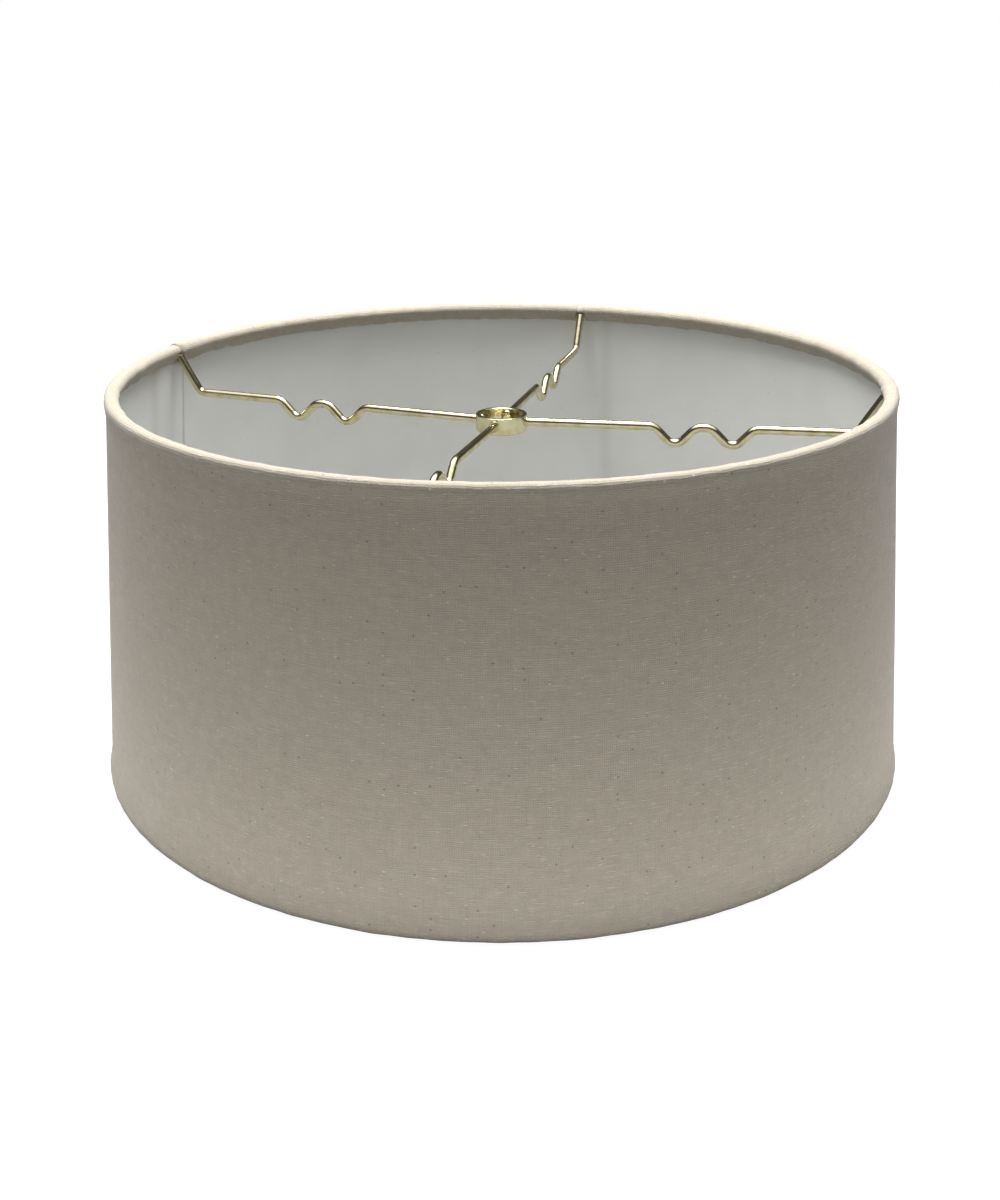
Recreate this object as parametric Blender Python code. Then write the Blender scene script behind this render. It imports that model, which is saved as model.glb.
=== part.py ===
"""A hardback drum lamp shade with a washer-fitter spider.

The shade is made the way the real one is: a styrene liner and a linen cover
rolled into a drum, a steel wire ring at each end with the cover turned over it,
a taped lap seam, and a brass-plated spider whose four crimped wire arms are
headed inside a small hub and welded to the top ring.

Units are metres, +Z is up, and the origin is at the centre of the face that
the shade stands on.
"""

import math

import bmesh
import bpy
from mathutils import Matrix, Vector

MM = 0.001

# Overall size
HEIGHT = 177.8 * MM
TOP_DIAMETER = 355.6 * MM
BOTTOM_DIAMETER = 368.3 * MM

# Sheet materials
FABRIC = 0.5 * MM
LINER = 0.4 * MM
TAPE = 0.15 * MM
FIT = 0.3 * MM
WAIST = 0.8 * MM
HEM_TOP = 10.0 * MM
HEM_BOTTOM = 10.0 * MM

# Lap seam
LAP = 12.0 * MM
SEAM_AZIMUTH = math.radians(166.0)
TAPE_MARGIN = 1.0 * MM
TAPE_END = 8.0 * MM

# Wires
RING_WIRE = 3.4 * MM
ARM_WIRE = 4.0 * MM

# Hub
HUB_DIAMETER = 23.8 * MM
HUB_HEIGHT = 8.0 * MM
HUB_WALL = 1.2 * MM
HUB_FLANGE = 1.4 * MM
HUB_BORE = 11.1 * MM
HUB_CHAMFER = 0.35 * MM

# Spider arms
ARM_DROP = 23.2 * MM
ARM_AZIMUTHS = (("back", 75.0), ("left", 158.5), ("front", 253.5), ("right", 351.0))
ARM_BEND_INSET = 17.0 * MM
ARM_BEND_RADIUS = 4.0 * MM
HEAD_DIAMETER = 5.2 * MM
HEAD_LENGTH = 1.2 * MM
CRIMP_START = 70.3 * MM
CRIMP_WIDTH = 19.2 * MM
CRIMP_GAP = 6.8 * MM
CRIMP_DEPTH = 8.2 * MM
CRIMP_DIP_RADIUS = 5.0 * MM
CRIMP_CREST_RADIUS = 6.2 * MM
CRIMPS = 2
NOTCH_WIDTH = 6.2 * MM
NOTCH_DROP = 2.4 * MM
NECK = 0.075 * MM

# Resolution
COLUMNS = 60
ROLL_STEPS = 6
WALL_STEPS = 5
BEND_STEPS = 3
WIRE_RESOLUTION = 2
HUB_SEGMENTS = 48
DRILL_SEGMENTS = 16
SHARP_ANGLE = math.radians(40.0)

# Worked out from the sizes above
LAP_STEP = FABRIC + FIT
LINER_LAP_STEP = LINER + TAPE + 2 * FIT
ROLL_RADIUS = (WAIST + 2 * FABRIC + LINER + RING_WIRE + 3 * FIT) / 2
ROLL_MID = ROLL_RADIUS - FABRIC / 2
RING_SHIFT = ROLL_RADIUS - FABRIC - FIT - RING_WIRE / 2
LOW_EDGE = LAP_STEP
HIGH_EDGE = HEIGHT - LAP_STEP
TOP_ROLL = Vector((TOP_DIAMETER / 2 - ROLL_RADIUS, HIGH_EDGE - ROLL_RADIUS))
LOW_ROLL = Vector((BOTTOM_DIAMETER / 2 - ROLL_RADIUS, LOW_EDGE + ROLL_RADIUS))
DOWN = (LOW_ROLL - TOP_ROLL).normalized()
OUT = Vector((-DOWN.y, DOWN.x))
LAP_ANGLE = LAP / (TOP_DIAMETER / 2)
COLUMN_ANGLE = 2 * math.pi / COLUMNS
LAP_RISE_START = 2 * math.pi - COLUMN_ANGLE
LAP_RISE_END = 2 * math.pi - COLUMN_ANGLE / 8
LAP_CUT_START = 2 * math.pi - 3 * COLUMN_ANGLE
LAP_CUT_END = 2 * math.pi - 2 * COLUMN_ANGLE
NOTCH_DEPTH = 4 * FABRIC
DRILL_LENGTH = 4 * HUB_WALL
ARM_HEIGHT = HIGH_EDGE - ARM_DROP
HUB_BOTTOM = ARM_HEIGHT - HUB_FLANGE - FIT - HEAD_DIAMETER / 2


def clear_scene():
    """Empty the scene and drop the data that was in it."""
    for item in list(bpy.data.objects):
        bpy.data.objects.remove(item, do_unlink=True)


def finish_material(name, colour, roughness, metallic=0.0):
    """Make a plain Principled finish."""
    material = bpy.data.materials.new(name)
    material.use_nodes = True
    shader = material.node_tree.nodes["Principled BSDF"]
    shader.inputs["Base Color"].default_value = (*colour, 1.0)
    shader.inputs["Roughness"].default_value = roughness
    shader.inputs["Metallic"].default_value = metallic
    material.diffuse_color = (*colour, 1.0)
    return material


def place(name, data, material, parent):
    """Link a mesh or a curve into the scene as one named sub-part."""
    item = bpy.data.objects.new(name, data)
    data.materials.append(material)
    bpy.context.scene.collection.objects.link(item)
    item.parent = parent
    return item


def wall_radius(height, inset):
    """Radius at a height of a surface that lies inside the rolls' outer tangent by an inset.

    The inset is measured square to the wall, which leans outwards towards the bottom.
    """
    share = (height - LOW_ROLL.y) / (TOP_ROLL.y - LOW_ROLL.y)
    return LOW_ROLL.lerp(TOP_ROLL, share).x + (ROLL_RADIUS - inset) / OUT.x


def turn_angles():
    """Angles from the seam of the columns of one turn, with one where the lap ends."""
    return sorted([LAP_ANGLE] + [COLUMN_ANGLE * i for i in range(COLUMNS)])


def column_angles():
    """Angles from the seam of a lapped strip's columns, once round and on over the lap."""
    return turn_angles() + [2 * math.pi, 2 * math.pi + LAP_ANGLE]


def cover_path():
    """Mid-thickness path of the cover's section, as (radius, height, outward direction).

    It starts at the top hem's raw edge, goes over the top ring, down the wall
    and round the bottom ring to the bottom hem's raw edge.
    """
    path = [(TOP_ROLL - ROLL_MID * OUT + (HEM_TOP - ROLL_RADIUS) * DOWN, -OUT)]
    for i in range(ROLL_STEPS + 1):
        turn = math.pi * (1 - i / ROLL_STEPS)
        out = math.cos(turn) * OUT - math.sin(turn) * DOWN
        path.append((TOP_ROLL + ROLL_MID * out, out))
    for i in range(1, WALL_STEPS + 1):
        centre = TOP_ROLL.lerp(LOW_ROLL, i / (WALL_STEPS + 1))
        path.append((centre + (ROLL_MID - WAIST) * OUT, OUT))
    for i in range(ROLL_STEPS + 1):
        turn = math.pi * i / ROLL_STEPS
        out = math.cos(turn) * OUT + math.sin(turn) * DOWN
        path.append((LOW_ROLL + ROLL_MID * out, out))
    path.append((LOW_ROLL - ROLL_MID * OUT - (HEM_BOTTOM - ROLL_RADIUS) * DOWN, -OUT))
    return path


def strip_mesh(name, sections):
    """Closed mesh through sections that all have as many corners, capped at both ends."""
    mesh = bmesh.new()
    rows = [[mesh.verts.new(corner) for corner in section] for section in sections]
    for before, after in zip(rows, rows[1:]):
        for i in range(len(before)):
            j = (i + 1) % len(before)
            mesh.faces.new((before[i], before[j], after[j], after[i]))
    half = len(rows[0]) // 2
    for row in (rows[0], rows[-1]):
        for i in range(half - 1):
            mesh.faces.new((row[i], row[i + 1], row[-2 - i], row[-1 - i]))
    bmesh.ops.recalc_face_normals(mesh, faces=mesh.faces)
    data = bpy.data.meshes.new(name)
    mesh.to_mesh(data)
    mesh.free()
    return data


def around(radius, height, angle):
    """Point at a radius and a height, at an angle on from the seam."""
    azimuth = SEAM_AZIMUTH + angle
    return Vector((radius * math.cos(azimuth), radius * math.sin(azimuth), height))


def ramp(angle, start, end):
    """Straight rise from 0 at one angle to 1 at another."""
    return min(max((angle - start) / (end - start), 0.0), 1.0)


def make_cover(material, parent):
    """Linen cover: turned over both rings, with its outer end lapped over its inner end."""
    path = cover_path()
    sections = []
    for angle in column_angles():
        proud = LAP_STEP * ramp(angle, LAP_RISE_START, LAP_RISE_END)
        outer = [point + (proud + FABRIC / 2) * out for point, out in path]
        inner = [point + (proud - FABRIC / 2) * out for point, out in path]
        sections.append([around(p.x, p.y, angle) for p in outer + inner[::-1]])
    data = strip_mesh("fabric_cover", sections)
    cover = place("fabric_cover", data, material, parent)
    notch_for_arms(cover, parent)
    return cover


def notch_for_arms(cover, parent):
    """Slit the top hem where each arm comes through it on its way to the ring."""
    mid = TOP_DIAMETER / 2 - 2 * ROLL_RADIUS + FABRIC / 2
    top = HIGH_EDGE - NOTCH_DROP
    bottom = HIGH_EDGE - HEM_TOP - FIT - FABRIC
    for side, azimuth in ARM_AZIMUTHS:
        mesh = bmesh.new()
        bmesh.ops.create_cube(mesh, size=1.0)
        size = Matrix.Diagonal((NOTCH_DEPTH, NOTCH_WIDTH, top - bottom, 1.0))
        centre = Matrix.Translation((mid, 0.0, (top + bottom) / 2))
        turn = Matrix.Rotation(math.radians(azimuth), 4, "Z")
        bmesh.ops.transform(mesh, matrix=turn @ centre @ size, verts=mesh.verts)
        data = bpy.data.meshes.new("notch_" + side)
        mesh.to_mesh(data)
        mesh.free()
        cut_with(cover, data, parent)


def cut_with(item, data, parent):
    """Subtract a cutter's mesh from an object."""
    cutter = bpy.data.objects.new(data.name, data)
    bpy.context.scene.collection.objects.link(cutter)
    cutter.parent = parent
    cutter.hide_render = True
    cutter.display_type = "WIRE"
    cut = item.modifiers.new(data.name, "BOOLEAN")
    cut.operation = "DIFFERENCE"
    cut.solver = "EXACT"
    cut.object = cutter


def make_liner(material, parent):
    """Styrene liner: its inner end laps inside and is cut short to clear both rings."""
    outer_inset = WAIST + FABRIC + FIT
    short = RING_WIRE / 2 + FIT + LINER
    top_height = TOP_ROLL.y
    low_height = LOW_ROLL.y
    sections = []
    for angle in column_angles():
        inward = LINER_LAP_STEP * ramp(angle, LAP_RISE_START, LAP_RISE_END)
        cut = short * ramp(angle, LAP_CUT_START, LAP_CUT_END)
        corners = []
        for height, thickness in (
            (top_height - cut, 0.0),
            (low_height + cut, 0.0),
            (low_height + cut, LINER),
            (top_height - cut, LINER),
        ):
            radius = wall_radius(height, outer_inset + inward + thickness)
            corners.append(around(radius, height, angle))
        sections.append(corners)
    place("styrene_liner", strip_mesh("styrene_liner", sections), material, parent)


def make_seam_tape(material, parent):
    """Double-sided tape between the two ends of the liner."""
    inset = WAIST + FABRIC + FIT + LINER + FIT
    margin = TAPE_MARGIN / (TOP_DIAMETER / 2)
    sections = []
    for angle in (margin, LAP_ANGLE - margin):
        corners = []
        for height, thickness in (
            (HIGH_EDGE - TAPE_END, 0.0),
            (LOW_EDGE + TAPE_END, 0.0),
            (LOW_EDGE + TAPE_END, TAPE),
            (HIGH_EDGE - TAPE_END, TAPE),
        ):
            corners.append(around(wall_radius(height, inset + thickness), height, angle))
        sections.append(corners)
    place("seam_tape", strip_mesh("seam_tape", sections), material, parent)


def wire(name, points, diameters, closed, material, parent):
    """Round wire along points, with a diameter at each of them."""
    data = bpy.data.curves.new(name, "CURVE")
    data.dimensions = "3D"
    data.bevel_depth = 1.0
    data.bevel_resolution = WIRE_RESOLUTION
    data.use_fill_caps = not closed
    spline = data.splines.new("POLY")
    spline.points.add(len(points) - 1)
    spline.use_cyclic_u = closed
    for point, place_at, diameter in zip(spline.points, points, diameters):
        point.co = (*place_at, 1.0)
        point.radius = diameter / 2
    return place(name, data, material, parent)


def make_ring(name, roll, material, parent):
    """Wire ring inside a turned-over edge of the drum, against the liner."""
    centre = roll - RING_SHIFT * OUT
    points = [around(centre.x, centre.y, angle) for angle in turn_angles()]
    wire(name, points, [RING_WIRE] * len(points), True, material, parent)


def rounded(corners, radii):
    """Path in a plane through corners, with each inner corner rounded to its radius."""
    path = [corners[0]]
    for before, corner, after, radius in zip(corners, corners[1:], corners[2:], radii):
        back = (before - corner).normalized()
        on = (after - corner).normalized()
        half = back.angle(on) / 2
        reach = radius / math.tan(half)
        centre = corner + (back + on).normalized() * radius / math.sin(half)
        start = corner + back * reach - centre
        sweep = math.pi - 2 * half
        side = 1.0 if back.x * on.y - back.y * on.x < 0 else -1.0
        for i in range(BEND_STEPS + 1):
            turn = side * sweep * i / BEND_STEPS
            c, s = math.cos(turn), math.sin(turn)
            path.append(centre + Vector((start.x * c - start.y * s, start.x * s + start.y * c)))
    return path + [corners[-1]]


def arm_corners():
    """Corners of an arm's centreline, as (radius, height), with a rounding for each."""
    flank = math.atan2(CRIMP_DEPTH, CRIMP_WIDTH / 2)
    dip = CRIMP_DEPTH + CRIMP_DIP_RADIUS * (1 / math.cos(flank) - 1)
    corners = [Vector((HUB_DIAMETER / 2 - HUB_WALL / 2, ARM_HEIGHT))]
    for i in range(CRIMPS):
        start = CRIMP_START + i * (CRIMP_WIDTH + CRIMP_GAP)
        corners.append(Vector((start, ARM_HEIGHT)))
        corners.append(Vector((start + CRIMP_WIDTH / 2, ARM_HEIGHT - dip)))
        corners.append(Vector((start + CRIMP_WIDTH, ARM_HEIGHT)))
    bend = Vector((TOP_DIAMETER / 2 - ARM_BEND_INSET, ARM_HEIGHT))
    ring = TOP_ROLL - RING_SHIFT * OUT
    rise = (ring - bend).normalized()
    seat = RING_WIRE / 2 + FIT
    corners += [bend, ring - rise * seat]
    crimp = [CRIMP_CREST_RADIUS, CRIMP_DIP_RADIUS, CRIMP_CREST_RADIUS]
    radii = crimp * CRIMPS + [ARM_BEND_RADIUS]
    return corners, radii


def make_arm(side, azimuth, material, parent):
    """Spider arm: headed inside the hub, crimped, then bent up to the top ring."""
    corners, radii = arm_corners()
    path = rounded(corners, radii)
    clear = HUB_DIAMETER / 2 - HUB_WALL - FIT
    inner = math.sqrt(clear**2 - (HEAD_DIAMETER / 2) ** 2)
    head = [Vector((inner - HEAD_LENGTH, ARM_HEIGHT)), Vector((inner, ARM_HEIGHT))]
    neck = [Vector((inner + NECK, ARM_HEIGHT))]
    diameters = [HEAD_DIAMETER] * 2 + [ARM_WIRE] * (1 + len(path))
    turn = math.radians(azimuth)
    points = [
        Vector((p.x * math.cos(turn), p.x * math.sin(turn), p.y)) for p in head + neck + path
    ]
    wire("spider_arm_" + side, points, diameters, False, material, parent)


def make_hub(material, parent):
    """Drawn cup of the washer fitter, with a bored flange and a hole for each arm."""
    outer = HUB_DIAMETER / 2
    inner = outer - HUB_WALL
    top = HUB_BOTTOM + HUB_HEIGHT
    profile = (
        (HUB_BORE / 2, HUB_BOTTOM),
        (outer - HUB_CHAMFER, HUB_BOTTOM),
        (outer, HUB_BOTTOM + HUB_CHAMFER),
        (outer, top - HUB_CHAMFER),
        (outer - HUB_CHAMFER, top),
        (inner + HUB_CHAMFER, top),
        (inner, top - HUB_CHAMFER),
        (inner, HUB_BOTTOM + HUB_FLANGE),
        (HUB_BORE / 2, HUB_BOTTOM + HUB_FLANGE),
    )
    mesh = bmesh.new()
    section = mesh.faces.new([mesh.verts.new((r, 0.0, z)) for r, z in profile])
    ring = list(section.edges)
    bmesh.ops.delete(mesh, geom=[section], context="FACES_ONLY")
    bmesh.ops.spin(
        mesh,
        geom=ring,
        axis=(0.0, 0.0, 1.0),
        angle=2 * math.pi,
        steps=HUB_SEGMENTS,
        use_merge=True,
    )
    bmesh.ops.remove_doubles(mesh, verts=mesh.verts, dist=MM / 1000)
    bmesh.ops.recalc_face_normals(mesh, faces=mesh.faces)
    data = bpy.data.meshes.new("spider_hub")
    mesh.to_mesh(data)
    mesh.free()
    hub = place("spider_hub", data, material, parent)
    for side, azimuth in ARM_AZIMUTHS:
        drill = bmesh.new()
        radius = ARM_WIRE / 2 + FIT
        bmesh.ops.create_cone(
            drill,
            cap_ends=True,
            segments=DRILL_SEGMENTS,
            radius1=radius,
            radius2=radius,
            depth=DRILL_LENGTH,
            matrix=Matrix.Rotation(math.radians(azimuth), 4, "Z")
            @ Matrix.Translation((outer - HUB_WALL / 2, 0.0, ARM_HEIGHT))
            @ Matrix.Rotation(math.pi / 2, 4, "Y"),
        )
        cutter = bpy.data.meshes.new("hole_" + side)
        drill.to_mesh(cutter)
        drill.free()
        cut_with(hub, cutter, parent)


def shade_smooth():
    """Shade every mesh smooth, with its real edges kept sharp."""
    for item in bpy.data.objects:
        if item.type == "MESH" and not item.hide_render:
            item.data.shade_smooth()
            item.data.set_sharp_from_angle(angle=SHARP_ANGLE)


def main():
    """Build the shade."""
    clear_scene()
    linen = finish_material("oatmeal_linen", (0.42, 0.38, 0.31), 0.9)
    styrene = finish_material("white_styrene", (0.72, 0.72, 0.70), 0.45)
    steel = finish_material("ring_steel", (0.55, 0.55, 0.56), 0.4, 1.0)
    tape = finish_material("seam_tape", (0.80, 0.79, 0.72), 0.6)
    brass = finish_material("plated_brass", (0.78, 0.72, 0.44), 0.22, 1.0)
    shade = bpy.data.objects.new("lamp_shade", None)
    bpy.context.scene.collection.objects.link(shade)
    make_cover(linen, shade)
    make_liner(styrene, shade)
    make_seam_tape(tape, shade)
    make_ring("top_ring", TOP_ROLL, steel, shade)
    make_ring("bottom_ring", LOW_ROLL, steel, shade)
    make_hub(brass, shade)
    for side, azimuth in ARM_AZIMUTHS:
        make_arm(side, azimuth, brass, shade)
    shade_smooth()


main()
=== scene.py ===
"""Looks for a drum lamp shade: linen over a white liner, turned over two wire rings.

A four-armed plated spider hangs from the top ring and holds a small hub. Every
piece is a surface worked out from the sizes below, in metres, in the frame of
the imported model. Lengths that start with a millimetre count are written n * MM.
"""

import logging
import math
from dataclasses import dataclass, replace
from enum import Enum

import bmesh
import bpy
import numpy as np
from mathutils import Matrix, Vector


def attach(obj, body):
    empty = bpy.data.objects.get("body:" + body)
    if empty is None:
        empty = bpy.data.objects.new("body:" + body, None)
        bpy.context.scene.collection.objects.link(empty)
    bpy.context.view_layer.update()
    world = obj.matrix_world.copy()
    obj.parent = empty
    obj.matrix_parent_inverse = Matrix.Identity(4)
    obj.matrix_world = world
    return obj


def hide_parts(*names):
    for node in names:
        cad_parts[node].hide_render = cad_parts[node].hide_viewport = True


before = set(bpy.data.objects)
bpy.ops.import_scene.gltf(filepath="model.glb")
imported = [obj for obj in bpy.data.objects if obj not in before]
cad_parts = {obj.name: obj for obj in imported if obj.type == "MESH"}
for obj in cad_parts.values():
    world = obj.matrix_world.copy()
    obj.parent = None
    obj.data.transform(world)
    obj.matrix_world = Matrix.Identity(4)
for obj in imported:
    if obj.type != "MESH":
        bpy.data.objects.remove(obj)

Array = np.ndarray
Material = bpy.types.Material
Object = bpy.types.Object
Socket = bpy.types.NodeSocket

LOG = logging.getLogger("lamp_shade")
MM = 0.001
TURN = 2 * math.pi
BODY = "root"
WELD = 1e-7
ARC_POINTS = 17


class Side(Enum):
    """The four spider arms: each one's node and its azimuth in degrees."""

    BACK = ("spider_arm_back", 75.0)
    LEFT = ("spider_arm_left", 158.5)
    FRONT = ("spider_arm_front", 253.5)
    RIGHT = ("spider_arm_right", 351.0)

    @property
    def node(self) -> str:
        """Name of the arm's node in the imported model."""
        return self.value[0]

    @property
    def azimuth(self) -> float:
        """Direction of the arm from the axis, in radians."""
        return math.radians(self.value[1])


class Rim(Enum):
    """The two turned-over ends of the drum and the node of the ring in each."""

    TOP = "top_ring"
    BOTTOM = "bottom_ring"


# Surfaces


@dataclass
class Patch:
    """A grid of points with the distance along it each way, for one UV map.

    points is rows x columns x 3. down and along give each row's and column's
    UV distance in metres, and have one more entry where that way is closed.
    capped closes a sheet's shell at its two ends with a strip of quads each.
    """

    points: Array
    down: Array
    along: Array
    closed_rows: bool = False
    closed_columns: bool = False
    capped: bool = False

    def corners(self) -> tuple[Array, Array]:
        """Corner vertex numbers and corner UVs of every quad.

        Quad (i, j) has corners (i, j), (i+1, j), (i+1, j+1), (i, j+1), and a
        closed way wraps its last number round to 0 while its UV runs on.

        Returns:
            Vertex numbers (faces x 4) and UVs (faces x 4 x 2).
        """
        rows, columns = self.points.shape[:2]
        i = np.arange(rows if self.closed_rows else rows - 1)
        j = np.arange(columns if self.closed_columns else columns - 1)
        i, j = (x.ravel() for x in np.meshgrid(i, j, indexing="ij"))
        row = np.stack([i, i + 1, i + 1, i], 1)
        column = np.stack([j, j, j + 1, j + 1], 1)
        faces = (row % rows) * columns + column % columns
        return faces, np.stack([self.along[column], self.down[row]], 2)


def add_uv(mesh: bpy.types.Mesh, uvs: Array) -> None:
    """Write one UV per face corner, in metres.

    Args:
        mesh: The mesh, whose loops are in the order of uvs.
        uvs: corners x 2.
    """
    layer = mesh.uv_layers.new(name="cloth")
    layer.data.foreach_set("uv", uvs.astype(np.float32).ravel())


def make_piece(name: str, patches: list[Patch], material: Material) -> Object:
    """One mesh object from grids of points, with poles merged and faces outward.

    Args:
        name: The piece's name.
        patches: Its grids. Each is closed, or capped, or ends in poles.
        material: Its finish.

    Returns:
        The object, at the origin, in the scene.
    """
    points, faces, uvs, caps = [], [], [], []
    start = 0
    for patch in patches:
        rows, columns = patch.points.shape[:2]
        quads, corner_uvs = patch.corners()
        points.append(patch.points.reshape(-1, 3))
        faces.append(quads + start)
        uvs.append(corner_uvs.reshape(-1, 2))
        if patch.capped:
            ring = np.arange(rows) * columns + start
            caps += [ring, ring + columns - 1]
        start += rows * columns
    quads = np.concatenate(faces)
    cap_faces = [row for cap in caps for row in lattice_cap(cap)]
    mesh = bpy.data.meshes.new(name)
    mesh.from_pydata(np.concatenate(points), [], quads.tolist() + cap_faces)
    corner_uvs = np.concatenate(uvs)
    spare = len(mesh.loops) - len(corner_uvs)
    add_uv(mesh, np.concatenate([corner_uvs, np.zeros((spare, 2))]))
    tidy_mesh(mesh)
    mesh.materials.append(material)
    piece = bpy.data.objects.new(name, mesh)
    bpy.context.scene.collection.objects.link(piece)
    return piece


def lattice_cap(ring: Array) -> list[list[int]]:
    """Quads across a thin closed ring, from point k of one half to point n - 1 - k."""
    half = len(ring) // 2
    near, far = ring[:half], ring[::-1][:half]
    return np.stack([near[:-1], near[1:], far[1:], far[:-1]], 1).tolist()


def tidy_mesh(mesh: bpy.types.Mesh) -> None:
    """Merge the points of each pole, turn faces outward and shade smooth."""
    work = bmesh.new()
    work.from_mesh(mesh)
    bmesh.ops.remove_doubles(work, verts=work.verts, dist=WELD)
    bmesh.ops.recalc_face_normals(work, faces=work.faces)
    work.to_mesh(mesh)
    work.free()
    mesh.shade_smooth()


def ease(x: Array) -> Array:
    """Smooth step: 3x^2 - 2x^3 with x held between 0 and 1."""
    x = np.clip(x, 0.0, 1.0)
    return x * x * (3 - 2 * x)


def waves(around: Array, along: Array, counts: tuple, seed: int) -> Array:
    """Gentle unevenness that closes on itself: the mean of sin(n a + k s + p).

    Args:
        around: Azimuths in radians.
        along: Distances down the surface in metres.
        counts: How many waves n each term has in a turn.
        seed: Fixes the phases p and the slants k.

    Returns:
        Values of about -1 to 1, in the shape that around and along make.
    """
    chance = np.random.default_rng(seed)
    total = np.zeros(np.broadcast(around, along).shape)
    for count in counts:
        phase, slant = chance.uniform(0, TURN), chance.uniform(-60, 60)
        total = total + np.sin(count * around + slant * along + phase)
    return total / math.sqrt(len(counts))


def run(points: Array) -> Array:
    """Distance of each point along the line through them all."""
    steps = np.linalg.norm(np.diff(points, axis=0), axis=1)
    return np.concatenate([[0.0], np.cumsum(steps)])


def spun(r: Array, azimuth: Array, z: Array) -> Array:
    """Points (r cos a, r sin a, z), from radii, azimuths and heights that broadcast."""
    r, azimuth, z = np.broadcast_arrays(r, azimuth, z)
    return np.stack([r * np.cos(azimuth), r * np.sin(azimuth), z], -1)


def turns(count: int) -> Array:
    """Angles of a whole turn in equal steps, the last one left out."""
    return np.arange(count) * TURN / count


def swing(t: Array) -> Array:
    """From 0 at t = 0 to 1 at t = pi: (1 - cos t) / 2."""
    return 0.5 - 0.5 * np.cos(t)


def angle_from(azimuth: Array, centre: float) -> Array:
    """Azimuth less a centre, from -pi to pi."""
    return (azimuth - centre + math.pi) % TURN - math.pi


def sheet_shell(faces: list[Array], line: Array, along: Array) -> Patch:
    """Closed shell of a sheet, from its two faces.

    Args:
        faces: The points of one face and of the other, each rows x columns x 3.
        line: Distance of each row down the sheet.
        along: Distance of each column along it.

    Returns:
        The shell, capped at the sheet's two ends.
    """
    shell = np.concatenate([faces[0], faces[1][::-1]])
    down = np.concatenate([line, line[::-1], line[:1]])
    return Patch(shell, down, along, closed_rows=True, capped=True)


def tube(path: Array, radius: Array, side: Array, sides: int) -> Patch:
    """Round tube along a plane path, ending in poles where its radius is 0.

    A point is path + radius (cos t normal + sin t side), with normal = side x tangent.

    Args:
        path: Centreline, n x 3.
        radius: Radius at each of its points.
        side: Unit vector square to the plane of the path.
        sides: Points round the tube.

    Returns:
        The tube's patch, its UV along being the distance round it.
    """
    tangent = np.gradient(path, axis=0)
    tangent /= np.linalg.norm(tangent, axis=1, keepdims=True)
    normal = np.cross(side, tangent)
    t = turns(sides)
    ring = np.cos(t)[None, :, None] * normal[:, None] + np.sin(t)[None, :, None] * side
    points = path[:, None] + radius[:, None, None] * ring
    along = np.linspace(0, TURN * radius.max(), sides + 1)
    return Patch(points, run(path), along, closed_columns=True)


def lathe(profile: Array, azimuths: Array, closed: bool) -> Patch:
    """Profile of (radius, height) turned about the axis: (r cos a, r sin a, z)."""
    points = spun(profile[:, 0, None], azimuths, profile[:, 1, None])
    down = run(np.concatenate([profile, profile[:1]]) if closed else profile)
    along = np.append(azimuths, azimuths[0] + TURN) * profile[:, 0].max()
    return Patch(points, down, along, closed_rows=closed, closed_columns=True)


def rounded(corners: Array, radii: Array, step: float) -> Array:
    """Plane path through corners, with an arc at each inner corner, evenly spaced.

    At a corner p with unit directions b back and n on, and half angle h between
    them, the arc's centre is p + (b + n)/|b + n| r/sin h, and the arc turns from
    p + b r/tan h through pi - 2h.

    Args:
        corners: n x 2.
        radii: n - 2 radii.
        step: Spacing of the points that come back.

    Returns:
        Points x 2.
    """
    p = corners[1:-1]
    back = corners[:-2] - p
    on = corners[2:] - p
    back /= np.linalg.norm(back, axis=1, keepdims=True)
    on /= np.linalg.norm(on, axis=1, keepdims=True)
    half = np.arccos(np.clip((back * on).sum(1), -1, 1)) / 2
    middle = (back + on) / np.linalg.norm(back + on, axis=1, keepdims=True)
    centre = p + middle * (radii / np.sin(half))[:, None]
    start = p + back * (radii / np.tan(half))[:, None] - centre
    sign = np.where(back[:, 0] * on[:, 1] - back[:, 1] * on[:, 0] < 0, 1.0, -1.0)
    turn = (sign * (math.pi - 2 * half))[:, None] * np.linspace(0, 1, ARC_POINTS)
    c, s = np.cos(turn), np.sin(turn)
    x = centre[:, None, 0] + start[:, None, 0] * c - start[:, None, 1] * s
    y = centre[:, None, 1] + start[:, None, 0] * s + start[:, None, 1] * c
    arcs = np.stack([x, y], 2).reshape(-1, 2)
    whole = np.concatenate([corners[:1], arcs, corners[-1:]])
    length = run(whole)
    at = np.linspace(0, length[-1], int(length[-1] / step) + 1)
    return np.stack([np.interp(at, length, whole[:, k]) for k in (0, 1)], 1)


# Finishes


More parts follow.
